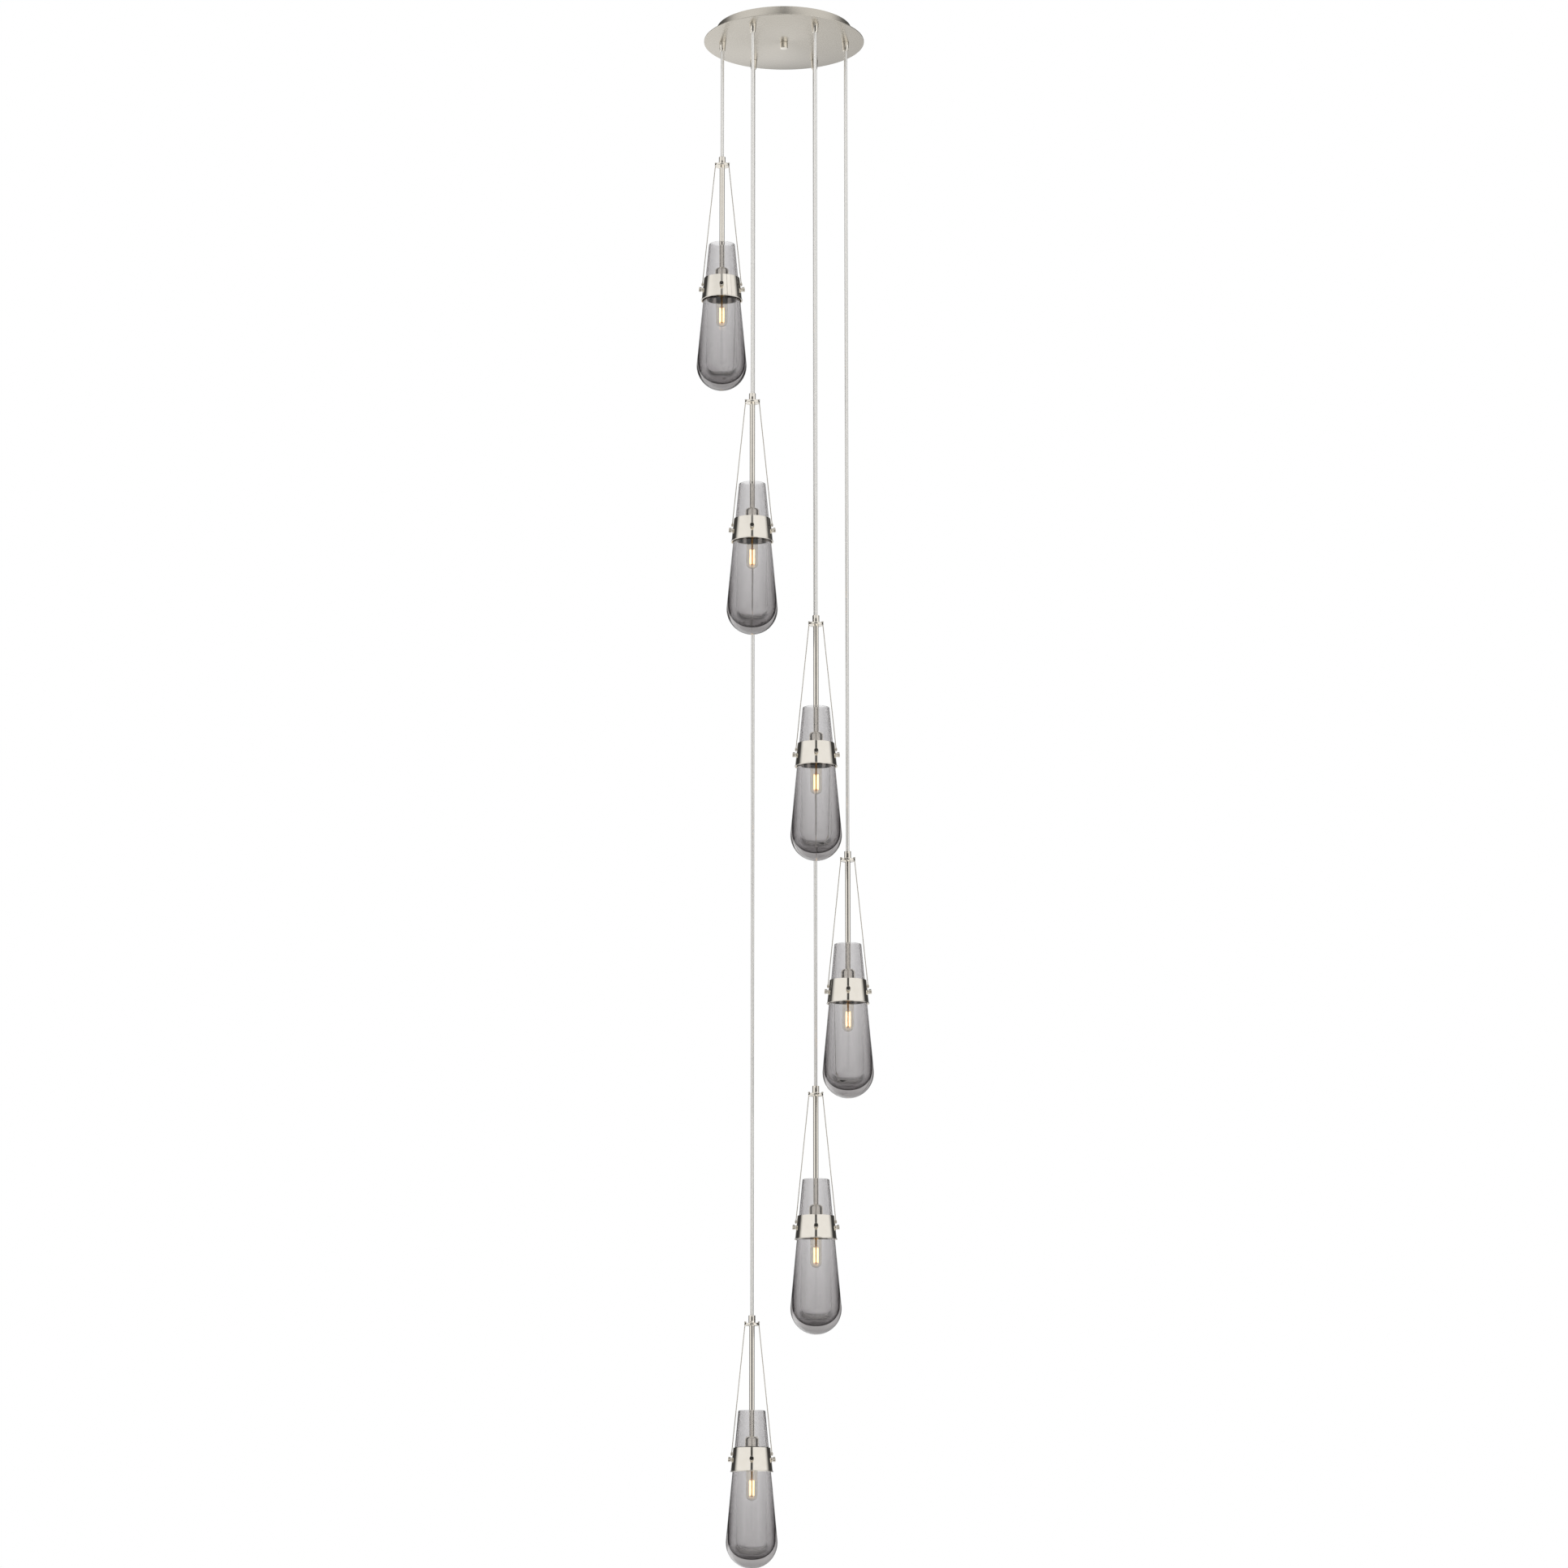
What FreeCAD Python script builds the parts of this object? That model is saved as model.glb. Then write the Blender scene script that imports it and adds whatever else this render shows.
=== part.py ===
import FreeCAD, Part
import math
import os

# Cluster pendant: six glass pendants on straight cords under one round canopy.
# Millimetres. The origin is the middle of the ceiling plane and +Z is up, so everything hangs below zero.

inch = 25.4

# canopy
plate_radius = 165.0
plate_thickness = 2.0
plate_edge_bevel = 0.6
pan_radius = 139.0
pan_wall = 1.2
pan_corner = 3.0
canopy_depth = 27.5        # from the ceiling to the underside of the plate

# strap, nipple and knob that hold the canopy up
strap_length = 108.0
strap_width = 20.0
strap_thickness = 2.5
strap_corner = 5.0
slot_spacing = 79.4        # middle of one slot to the middle of the other
slot_length = 15.0
slot_half_width = 2.4
ground_screw_place = 22.0
ground_screw_radius = 2.0
ground_head_radius = 4.0
ground_head_height = 2.6
nipple_radius = 4.85
nipple_bore = 3.6
nut_across_flats = 14.0
nut_height = 4.0
knob_radius = 7.85
knob_height = 13.0
knob_bevel = 0.9
knob_floor = 3.0

# cord grips and the cords
pendant_count = 6
grip_inset = 12.0          # from the outside of the pan in to the circle that the grips stand on
grip_circle = pan_radius - grip_inset
grip_top_radius = 7.2
grip_end_radius = 5.6
grip_length = 19.0
grip_end_bevel = 1.0
shank_radius = 4.85
shank_past_nut = 1.6
grip_screw_radius = 1.25
grip_screw_height = 5.5    # above the grip's lower end
grip_screw_proud = 0.2
cord_radius = 3.4
cord_room = 0.4            # between the cord and the grip's bore
swing_depth = 0.8          # the cord bends this far inside the grip's mouth
swing_limit = 10.0         # degrees outwards
tail_bend = 9.5
tail_run = 20.0
tail_rise = 5.2            # from the ceiling down to the middle of the tail's level run
core_radius = 1.1
core_length = 14.0

# cord from the grip to the coupler of each pendant
first_drop = 9 * inch
second_drop = 30 * inch
drop_step = 18 * inch

# coupler, hub and stem, measured from the underside of the hub
coupler_radius = 6.75
coupler_height = 14.9
coupler_bevel = 0.5
thread_depth = 7.5
hub_radius = 15.0
hub_thickness = 5.2
hub_round = 1.4
stem_radius = 5.15
notch_depth = 2.7
notch_width = 2.4

# socket cup and lampholder
cup_top = 219.0            # below the hub
cup_radius = 13.8
cup_wall = 1.2
cup_shoulder = 7.0
cup_height = 58.0
holder_room = 0.3
holder_top_gap = 6.8
holder_recess = 8.0
stem_seat = 6.0
cord_end_depth = 3.0
floor_of_holder = 12.0
socket_radius = 6.9
shell_wall = 0.55
contact_radius = 2.2
contact_height = 1.3

# bulb
bulb_radius = 11.65
bulb_end = 345.0           # below the hub
bulb_wall = 0.8
cap_radius = 5.9
cap_length = 20.0
neck_length = 8.0
filament_length = 30.0
filament_radius = 0.9
filament_circle = 4.6
filament_low_gap = 10.0
arm_height = 1.0           # of the wires that join the ends of the filaments
mount_radius = 2.6

# glass shade
rim_depth = 167.0          # below the hub
rim_bore = 22.8
glass_taper = 0.095        # growth of the radius with the depth
bulge_radius = 50.8
shade_end = 474.6
cavity_depth = 300.0       # below the hub, where the cavity reaches its full radius
cavity_radius = 31.0
cavity_corner = 24.0
glass_floor = 31.0

# band round the glass
band_top = 239.6           # below the hub
band_top_radius = 36.6
band_taper = 0.105
band_height = 47.1
band_wall = 1.2
lip_height = 2.0
lip_width = 1.0

# thumbscrews
screw_count = 4
screw_drop = 23.1          # below the top of the band
shank_of_screw = 2.0
collar_radius = 3.95
collar_height = 3.0
head_radius = 4.85
head_height = 4.8
head_bevel = 0.5
tip_past_glass = 1.0

# wire ropes
rope_radius = 0.9
rope_end_drop = 11.8       # below the top of the band
stop_radius = 1.9
stop_height = 3.0
ferrule_radius = 1.5
ferrule_length = 7.0
rivet_radius = 0.9
rivet_head_radius = 1.8
rivet_head_height = 0.6

# fits
running_gap = 0.1
thread_gap = 0.12
seat_gap = 0.05
glass_hole_gap = 0.5
overshoot = 1.0            # how far a cutter reaches past what it cuts

# how many flat sides stand for a full turn, because most pieces are there six times or more
canopy_sides = 48
glass_sides = 20
metal_sides = 12
small_sides = 8
wire_sides = 6
bend_steps = 3

axis_z = FreeCAD.Vector(0, 0, 1)
origin = FreeCAD.Vector(0, 0, 0)


def arc_points(centre_r, centre_z, radius, first, last, steps):
    """Points of an arc in the (r, z) plane, its angles in degrees."""
    angles = [math.radians(first + (last - first) * k / steps) for k in range(steps + 1)]
    return [(centre_r + radius * math.cos(a), centre_z + radius * math.sin(a)) for a in angles]


def lathe(profile, sides):
    """A solid turned about Z from a closed (r, z) outline, with flat sides in place of a round."""
    turn = 2 * math.pi / sides
    faces = []
    for (r0, z0), (r1, z1) in zip(profile, profile[1:] + profile[:1]):
        for k in range(sides):
            corners = []
            for r, z, a in ((r0, z0, k - 0.5), (r0, z0, k + 0.5), (r1, z1, k + 0.5), (r1, z1, k - 0.5)):
                corner = FreeCAD.Vector(r * math.cos(a * turn), r * math.sin(a * turn), z)
                if all((corner - other).Length > 1e-6 for other in corners):
                    corners.append(corner)
            if len(corners) > 2:
                faces.append(Part.Face(Part.makePolygon(corners + corners[:1])))
    shell = Part.Shell(faces)
    shell.sewShape()
    solid = Part.Solid(shell)
    if solid.Volume < 0:
        solid.reverse()
    return solid.removeSplitter()


def rod(sides, radius, low, high):
    return lathe([(0, low), (radius, low), (radius, high), (0, high)], sides)


def corner_radius(radius, sides):
    """Radius at the corners of a hole whose flats are at the given radius."""
    return radius / math.cos(math.pi / sides)


def cutter(sides, radius, low, high):
    """A rod that cuts a hole whose flats, not its corners, are at the radius."""
    return rod(sides, corner_radius(radius, sides), low, high)


def tube(radius, low, high):
    return Part.makeCylinder(radius, high - low, FreeCAD.Vector(0, 0, low))


def aimed(shape, direction, place):
    """A copy of a shape made along +Z, with its Z axis along direction and its origin at place."""
    copy = shape.copy()
    copy.Placement = FreeCAD.Placement(place, FreeCAD.Rotation(axis_z, direction))
    return copy


def round_the_axis(shape, count, first=0.0):
    """Copies of a shape spaced evenly about the Z axis."""
    copies = []
    for k in range(count):
        copy = shape.copy()
        copy.rotate(origin, axis_z, first + 360.0 * k / count)
        copies.append(copy)
    return copies


def hexagon_nut(across_flats, bore, low, high):
    corner = across_flats / 2 / math.cos(math.pi / 6)
    return rod(6, corner, low, high).cut(cutter(metal_sides, bore, low - overshoot, high + overshoot))


def save(name, *solids):
    shape = solids[0] if len(solids) == 1 else Part.Compound(list(solids))
    shape.exportStep("parts/" + name + ".step")


# heights of the canopy, all below the ceiling
plate_low = -canopy_depth
plate_high = plate_low + plate_thickness
pan_floor = plate_high + pan_wall
strap_low = -strap_thickness
nut_low = pan_floor
grip_low = plate_low - grip_length
swing_height = grip_low + swing_depth
shank_high = nut_low + nut_height + shank_past_nut
grip_bore = cord_radius + cord_room
grip_place = FreeCAD.Vector(grip_circle, 0, 0)


def grip_radius_at(height):
    """Outside radius of the tapered grip at a height above its lower end."""
    return grip_end_radius + (grip_top_radius - grip_end_radius) * height / grip_length


def canopy_holes():
    centre = cutter(metal_sides, nipple_radius + thread_gap, plate_low - overshoot, 0)
    shank = cutter(metal_sides, shank_radius + thread_gap, plate_low - overshoot, 0)
    return [centre] + round_the_axis(shank.translated(grip_place), pendant_count)


def canopy_plate():
    outline = [
        (0, plate_low),
        (plate_radius - plate_edge_bevel, plate_low),
        (plate_radius, plate_low + plate_edge_bevel),
        (plate_radius, plate_high),
        (0, plate_high),
    ]
    return lathe(outline, canopy_sides).cut(canopy_holes())


def canopy_pan():
    inner = pan_radius - pan_wall
    outline = [
        (0, plate_high),
        (pan_radius - pan_corner, plate_high),
        (pan_radius, plate_high + pan_corner),
        (pan_radius, 0),
        (inner, 0),
        (inner, plate_high + pan_corner),
        (pan_radius - pan_corner, pan_floor),
        (0, pan_floor),
    ]
    return lathe(outline, canopy_sides).cut(canopy_holes())


def mounting_strap():
    corner = FreeCAD.Vector(-strap_length / 2, -strap_width / 2, strap_low)
    bar = Part.makeBox(strap_length, strap_width, strap_thickness, corner)
    bar = bar.makeChamfer(strap_corner, [e for e in bar.Edges if abs(e.Length - strap_thickness) < 1e-6])
    low, high = strap_low - overshoot, overshoot
    holes = [cutter(metal_sides, nipple_radius + thread_gap, low, high)]
    ground_hole = cutter(small_sides, ground_screw_radius + thread_gap, low, high)
    holes.append(ground_hole.translated(ground_screw_spot()))
    reach = slot_length / 2 - slot_half_width
    for side in (-1, 1):
        middle = side * slot_spacing / 2
        for end in (-1, 1):
            round_end = tube(slot_half_width, low, high)
            holes.append(round_end.translated(FreeCAD.Vector(middle + end * reach, 0, 0)))
        corner = FreeCAD.Vector(middle - reach, -slot_half_width, low)
        holes.append(Part.makeBox(2 * reach, 2 * slot_half_width, high - low, corner))
    return bar.cut(holes)


def ground_screw_spot():
    return FreeCAD.Vector(ground_screw_place, 0, 0)


def ground_screw():
    head_high = strap_low - seat_gap
    head = rod(6, ground_head_radius, head_high - ground_head_height, head_high)
    thread = rod(small_sides, ground_screw_radius, head_high, 0)
    return head.fuse(thread).translated(ground_screw_spot())


def threaded_nipple():
    low = plate_low - knob_height + knob_floor + seat_gap
    outline = [(nipple_bore, low), (nipple_radius, low), (nipple_radius, 0), (nipple_bore, 0)]
    return lathe(outline, metal_sides)


def nipple_locknut():
    high = strap_low - seat_gap
    return hexagon_nut(nut_across_flats, nipple_radius + thread_gap, high - nut_height, high)


def centre_knob():
    """Blind nut that the hand turns to hold the canopy up."""
    high = plate_low - seat_gap
    low = high - knob_height
    bore = nipple_radius + thread_gap
    outline = [
        (0, low),
        (knob_radius - knob_bevel, low),
        (knob_radius, low + knob_bevel),
        (knob_radius, high),
        (bore, high),
        (bore, low + knob_floor),
        (0, low + knob_floor),
    ]
    return lathe(outline, metal_sides)


def cord_grip():
    """Tapered grip with a threaded shank, its bore open from end to end."""
    high = plate_low - seat_gap
    outline = [
        (grip_bore, grip_low),
        (grip_end_radius - grip_end_bevel, grip_low),
        (grip_radius_at(grip_end_bevel), grip_low + grip_end_bevel),
        (grip_top_radius, high),
        (shank_radius, high),
        (shank_radius, shank_high),
        (grip_bore, shank_high),
    ]
    hole = cutter(small_sides, grip_screw_radius + thread_gap, 0, grip_top_radius + overshoot)
    hole = aimed(hole, grip_screw_direction(), grip_screw_seat())
    return lathe(outline, metal_sides).cut(hole).translated(grip_place)


def grip_screw_direction():
    return FreeCAD.Vector(1, 0, 0)


def grip_screw_seat():
    return FreeCAD.Vector(0, 0, grip_low + grip_screw_height)


def grip_screw():
    """Headless screw that clamps the cord in its grip."""
    outer = grip_radius_at(grip_screw_height) + grip_screw_proud
    screw = rod(small_sides, grip_screw_radius, cord_radius + seat_gap, outer)
    return aimed(screw, grip_screw_direction(), grip_screw_seat()).translated(grip_place)


def grip_nut():
    nut = hexagon_nut(nut_across_flats, shank_radius + thread_gap, nut_low + seat_gap, nut_low + nut_height)
    return nut.translated(grip_place)


# the part of each cord that the grip holds still, and its bend into the canopy
swing_rise = cord_radius * math.sin(math.radians(swing_limit))
tail_low = swing_height + swing_rise + running_gap
tail_high = -tail_rise
tail_end = grip_circle - tail_bend - tail_run


def cord_tail():
    knee = tail_high - tail_bend
    route = [(grip_circle, tail_low)]
    route += arc_points(grip_circle - tail_bend, knee, tail_bend, 0, 90, bend_steps)
    route.append((tail_end, tail_high))
    path = Part.makePolygon([FreeCAD.Vector(r, 0, z) for r, z in route])
    round_points = arc_points(grip_circle, 0, cord_radius, 0, 360, small_sides)
    corners = [FreeCAD.Vector(x, y, tail_low) for x, y in round_points]
    return path.makePipeShell([Part.makePolygon(corners)], True, False, 1)


def cord_cores():
    """The two insulated wires that come out of the end of a tail."""
    core = rod(small_sides, core_radius, 0, core_length)
    offset = core_radius + seat_gap
    inward = FreeCAD.Vector(-1, 0, 0)
    return [aimed(core, inward, FreeCAD.Vector(tail_end, s * offset, tail_high)) for s in (-1, 1)]


# pendant pieces, made about the Z axis with the underside of the hub at zero
cup_low = -cup_top - cup_height
holder_high = -cup_top - holder_top_gap - cup_wall
holder_low = cup_low + holder_recess
stem_low = holder_high - stem_seat
cord_end = stem_low - cord_end_depth
socket_high = cord_end - floor_of_holder
cap_high = socket_high - contact_height - seat_gap
cap_low = cap_high - cap_length
stem_high = hub_thickness + thread_depth
coupler_low = hub_thickness + seat_gap
coupler_high = coupler_low + coupler_height
bulge_middle = -shade_end + bulge_radius
taper_angle = math.atan(glass_taper)
cord_bore = corner_radius(cord_radius + running_gap, metal_sides)
rim_radius = bulge_radius / math.cos(taper_angle) - glass_taper * (-rim_depth - bulge_middle)


def band_radius_at(drop):
    """Outside radius of the band at a drop below its top."""
    return band_top_radius + band_taper * drop


def coupler():
    outline = [
        (stem_radius + thread_gap, coupler_low),
        (coupler_radius, coupler_low),
        (coupler_radius, coupler_high - coupler_bevel),
        (coupler_radius - coupler_bevel, coupler_high),
        (cord_bore, coupler_high),
        (cord_bore, stem_high + seat_gap),
        (stem_radius + thread_gap, stem_high + seat_gap),
    ]
    return lathe(outline, metal_sides)


def hub():
    bore = stem_radius + thread_gap
    outline = [
        (bore, 0),
        (hub_radius - hub_round, 0),
        (hub_radius, hub_round),
        (hub_radius, hub_thickness - hub_round),
        (hub_radius - hub_round, hub_thickness),
        (bore, hub_thickness),
    ]
    disc = lathe(outline, metal_sides)
    corner = FreeCAD.Vector(hub_radius - notch_depth, -notch_width / 2, -overshoot)
    notch = Part.makeBox(notch_depth + overshoot, notch_width, hub_thickness + 2 * overshoot, corner)
    return disc.cut(round_the_axis(notch, 2))


def stem():
    outline = [(cord_bore, stem_low), (stem_radius, stem_low)]
    outline += [(stem_radius, stem_high), (cord_bore, stem_high)]
    return lathe(outline, metal_sides)


def socket_cup():
    bore = stem_radius + thread_gap
    shoulder_z = -cup_top - cup_shoulder
    shoulder_r = cup_radius - cup_shoulder
    outline = [(bore, -cup_top)]
    outline += arc_points(shoulder_r, shoulder_z, cup_shoulder, 90, 0, 3)
    outline += [(cup_radius, cup_low), (cup_radius - cup_wall, cup_low)]
    outline += arc_points(shoulder_r, shoulder_z, cup_shoulder - cup_wall, 0, 90, 1)
    outline += [(bore, -cup_top - cup_wall)]
    return lathe(outline, metal_sides)


def insulator():
    outer = (cup_radius - cup_wall) * math.cos(math.pi / metal_sides) - holder_room
    stem_room = corner_radius(stem_radius + thread_gap, small_sides)
    cord_room_below = corner_radius(cord_radius + running_gap, small_sides)
    outline = [
        (stem_room, holder_high),
        (outer, holder_high),
        (outer, holder_low),
        (socket_radius, holder_low),
        (socket_radius, socket_high),
        (0, socket_high),
        (0, cord_end - seat_gap),
        (cord_room_below, cord_end - seat_gap),
        (cord_room_below, stem_low - seat_gap),
        (stem_room, stem_low - seat_gap),
    ]
    return lathe(outline, small_sides)


def screw_shell():
    outer = socket_radius - thread_gap
    inner = outer - shell_wall
    low, high = holder_low + shell_wall, socket_high - contact_height
    return lathe([(inner, low), (outer, low), (outer, high), (inner, high)], small_sides)


def centre_contact():
    return rod(small_sides, contact_radius, socket_high - contact_height, socket_high)


def bulb_cap():
    shoulder = 2 * contact_height
    outline = [(0, cap_low), (cap_radius, cap_low), (cap_radius, cap_high - shoulder)]
    outline += [(contact_radius, cap_high), (0, cap_high)]
    return lathe(outline, small_sides)


def bulb_glass():
    """Thin-walled tube with a round end, open only where its neck stands on the cap."""
    end_z = -bulb_end + bulb_radius
    outer = arc_points(0, end_z, bulb_radius, -90, 0, 3)
    inner = arc_points(0, end_z, bulb_radius - bulb_wall, 0, -90, 3)
    inner_radius = bulb_radius - bulb_wall
    neck_low = cap_low - neck_length
    outline = outer + [(bulb_radius, neck_low), (cap_radius, cap_low), (mount_radius, cap_low)]
    outline += [(mount_radius, cap_low - bulb_wall), (cap_radius - bulb_wall, cap_low - bulb_wall)]
    outline += [(inner_radius, neck_low - bulb_wall)] + inner
    return lathe(outline, metal_sides)


def glow_assembly():
    """Glass mount and the four filaments round it."""
    filament_low = -bulb_end + filament_low_gap
    filament_high = filament_low + filament_length
    high = filament_high + arm_height
    post = rod(small_sides, mount_radius - running_gap, high, cap_low - seat_gap)
    spine = rod(4, filament_radius, filament_low - arm_height, high)
    arm_corner = FreeCAD.Vector(-filament_circle, -filament_radius / 2, 0)
    arm = Part.makeBox(2 * filament_circle, filament_radius, arm_height, arm_corner)
    arms = [arm.translated(axis_z * z) for z in (filament_low - arm_height, filament_high)]
    filament = rod(4, filament_radius, filament_low, filament_high)
    filament = filament.translated(FreeCAD.Vector(filament_circle, 0, 0))
    crosses = [copy for arm in arms for copy in round_the_axis(arm, 4, 45)[:2]]
    return post.fuse([spine] + crosses + round_the_axis(filament, 4, 45)).removeSplitter()


def screw_axis():
    """Point on the band's outside and the outward direction of the thumbscrew over +X."""
    angle = math.atan(band_taper)
    flat = math.cos(math.pi / glass_sides)
    place = FreeCAD.Vector(band_radius_at(screw_drop) * flat, 0, -band_top - screw_drop)
    return place, FreeCAD.Vector(math.cos(angle), 0, math.sin(angle))


def screw_inner_length():
    """From the band's outside to the tip of the thumbscrew inside the glass."""
    depth = band_top + screw_drop
    share = (depth - rim_depth) / (cavity_depth - rim_depth)
    glass_inside = rim_bore + (cavity_radius - rim_bore) * share
    return band_radius_at(screw_drop) - glass_inside + tip_past_glass


def holes_for_screws(radius):
    place, outward = screw_axis()
    hole = cutter(small_sides, radius, -screw_inner_length() - 2 * overshoot, 3 * overshoot)
    return round_the_axis(aimed(hole, outward, place), screw_count)


def shade():
    """Cone that runs into a ball round a narrower cavity, so the wall grows thick towards the bottom."""
    outline = [(rim_bore, -rim_depth), (rim_radius, -rim_depth)]
    outline += arc_points(0, bulge_middle, bulge_radius, math.degrees(taper_angle), -90, 5)
    cavity_floor = -shade_end + glass_floor
    corner_z = cavity_floor + cavity_corner
    outline += [(0, cavity_floor)]
    outline += arc_points(cavity_radius - cavity_corner, corner_z, cavity_corner, -90, 0, 3)
    outline += [(cavity_radius, -cavity_depth)]
    return lathe(outline, glass_sides).cut(holes_for_screws(shank_of_screw + glass_hole_gap))


def band():
    lip_drop = band_height - lip_height
    slope_wall = band_wall / math.cos(math.atan(band_taper))
    lip_radius = band_radius_at(band_height) + lip_width
    outline = [
        (band_top_radius, -band_top),
        (band_radius_at(lip_drop), -band_top - lip_drop),
        (lip_radius, -band_top - lip_drop - lip_height / 4),
        (lip_radius, -band_top - band_height),
        (band_radius_at(band_height) - slope_wall, -band_top - band_height),
        (band_top_radius - slope_wall, -band_top),
    ]
    collar = lathe(outline, glass_sides)
    place, inward = rope_end(), FreeCAD.Vector(-1, 0, 0)
    rivet_reach = place.x - band_radius_at(rope_end_drop) + slope_wall + overshoot
    rivet_hole = aimed(cutter(small_sides, rivet_radius + running_gap, 0, rivet_reach), inward, place)
    return collar.cut(holes_for_screws(shank_of_screw + thread_gap) + round_the_axis(rivet_hole, 2))


def thumbscrew():
    """High thumbscrew: a knurled head on a plain collar, and a shank that holds the glass."""
    tip = -screw_inner_length()
    collar_high = seat_gap + collar_height
    head_high = collar_high + head_height
    outline = [
        (0, tip),
        (shank_of_screw, tip),
        (shank_of_screw, seat_gap),
        (collar_radius, seat_gap),
        (collar_radius, collar_high),
        (head_radius, collar_high),
        (head_radius, head_high - head_bevel),
        (head_radius - head_bevel, head_high),
        (0, head_high),
    ]
    place, outward = screw_axis()
    return aimed(lathe(outline, small_sides), outward, place)


def rope_end():
    """Middle of the rope's lower fitting, beside the band."""
    wall = band_radius_at(rope_end_drop + ferrule_length / 2)
    return FreeCAD.Vector(wall + ferrule_radius + running_gap, 0, -band_top - rope_end_drop)


def rope():
    """Wire rope from a stop on the hub to a fitting that is riveted to the band."""
    low = rope_end()
    notch_middle = FreeCAD.Vector(hub_radius - notch_depth / 2 + running_gap, 0, hub_thickness / 2)
    line = notch_middle - low
    along = FreeCAD.Vector(line.x, 0, line.z)
    along.normalize()
    hub_top = (hub_thickness + seat_gap - low.z) / along.z
    strand = rod(wire_sides, rope_radius, 0, hub_top + stop_height)
    stop = rod(wire_sides, stop_radius, hub_top - stop_radius * along.x + seat_gap, hub_top + stop_height)
    ferrule = rod(wire_sides, ferrule_radius, -ferrule_length / 2, ferrule_length / 2)
    pieces = [aimed(shape, along, low) for shape in (strand, stop, ferrule)]
    wall = band_radius_at(rope_end_drop)
    head_near = low.x - wall + 2 * band_wall
    shaft = rod(wire_sides, rivet_radius, 0, head_near + rivet_head_height)
    head = rod(wire_sides, rivet_head_radius, head_near, head_near + rivet_head_height)
    inward = FreeCAD.Vector(-1, 0, 0)
    pieces += [aimed(shape, inward, low) for shape in (shaft, head)]
    return pieces[0].fuse(pieces[1:])


def cord(drop):
    """Straight cord from where it bends in the grip to its end in the lampholder."""
    low = grip_low - drop - coupler_high + cord_end
    return tube(cord_radius, low, swing_height)


os.makedirs("parts", exist_ok=True)

save("canopy_plate", canopy_plate())
save("canopy_pan", canopy_pan())
save("mounting_strap", mounting_strap())
save("ground_screw", ground_screw())
save("threaded_nipple", threaded_nipple())
save("nipple_locknut", nipple_locknut())
save("centre_knob", centre_knob())
save("cord_grips", *round_the_axis(cord_grip(), pendant_count))
save("grip_screws", *round_the_axis(grip_screw(), pendant_count))
save("grip_nuts", *round_the_axis(grip_nut(), pendant_count))
save("cord_tails", *round_the_axis(cord_tail(), pendant_count))
save("cord_cores", *[copy for core in cord_cores() for copy in round_the_axis(core, pendant_count)])

# the longer the cord, the further round the canopy it hangs
pendant_angles = [180 + 60 * k for k in range(pendant_count)]
drops = [first_drop] + [second_drop + drop_step * k for k in range(pendant_count - 1)]
pendant_pieces = {
    "hanger": [coupler(), hub(), stem(), socket_cup()],
    "lampholder": [insulator(), screw_shell(), centre_contact()],
    "bulb": [bulb_cap(), bulb_glass(), glow_assembly()],
    "shade": [shade()],
    "band": [band()],
    "thumbscrews": round_the_axis(thumbscrew(), screw_count),
    "ropes": round_the_axis(rope(), 2),
}

for number, (angle, drop) in enumerate(zip(pendant_angles, drops), 1):
    across = FreeCAD.Vector(math.cos(math.radians(angle)), math.sin(math.radians(angle)), 0) * grip_circle
    hub_height = grip_low - drop - coupler_high
    save("cord_%d" % number, cord(drop).translated(across))
    for name, solids in pendant_pieces.items():
        move = across + axis_z * hub_height
        save("%s_%d" % (name, number), *[solid.translated(move) for solid in solids])
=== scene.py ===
import bpy
import bmesh
import math
from mathutils import Matrix, Vector


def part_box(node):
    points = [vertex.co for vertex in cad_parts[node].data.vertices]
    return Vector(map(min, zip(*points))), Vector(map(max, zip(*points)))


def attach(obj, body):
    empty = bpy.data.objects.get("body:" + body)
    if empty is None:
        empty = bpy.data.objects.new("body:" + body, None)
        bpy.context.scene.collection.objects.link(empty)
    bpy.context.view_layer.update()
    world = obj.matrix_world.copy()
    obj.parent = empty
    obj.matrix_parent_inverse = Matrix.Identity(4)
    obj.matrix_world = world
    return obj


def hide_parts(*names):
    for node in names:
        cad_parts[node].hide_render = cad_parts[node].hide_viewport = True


# Cluster pendant: six smoke glass pendants on straight cords under a round nickel canopy.
# Shapes are drawn in millimetres and scaled to metres when they become a piece.

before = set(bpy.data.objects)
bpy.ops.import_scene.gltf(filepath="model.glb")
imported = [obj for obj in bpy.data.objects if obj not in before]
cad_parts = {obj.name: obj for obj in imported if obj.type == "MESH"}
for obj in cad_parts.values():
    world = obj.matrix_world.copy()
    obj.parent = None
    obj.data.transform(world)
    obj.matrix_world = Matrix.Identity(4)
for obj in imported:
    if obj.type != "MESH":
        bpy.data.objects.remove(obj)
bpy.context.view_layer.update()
scene = bpy.context.scene
mm = 0.001
pendantCount = 6
pendantNumbers = range(1, pendantCount + 1)
print("frame loaded with", len(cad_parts), "nodes")


# camera: level with the lowest glass and tilted up, so that the canopy is seen from below
cameraSetup = {"place": (0.0, -9.0, -3.3), "tiltUp": 10.783, "viewAngle": 19.435, "farthest": 200.0}


def makeCamera():
    data = bpy.data.cameras.new("camera")
    data.sensor_fit = "HORIZONTAL"
    data.angle = math.radians(cameraSetup["viewAngle"])
    data.clip_end = cameraSetup["farthest"]
    camera = bpy.data.objects.new("camera", data)
    camera.location = cameraSetup["place"]
    camera.rotation_euler = (math.radians(90 + cameraSetup["tiltUp"]), 0, 0)
    scene.collection.objects.link(camera)
    scene.camera = camera


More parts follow.
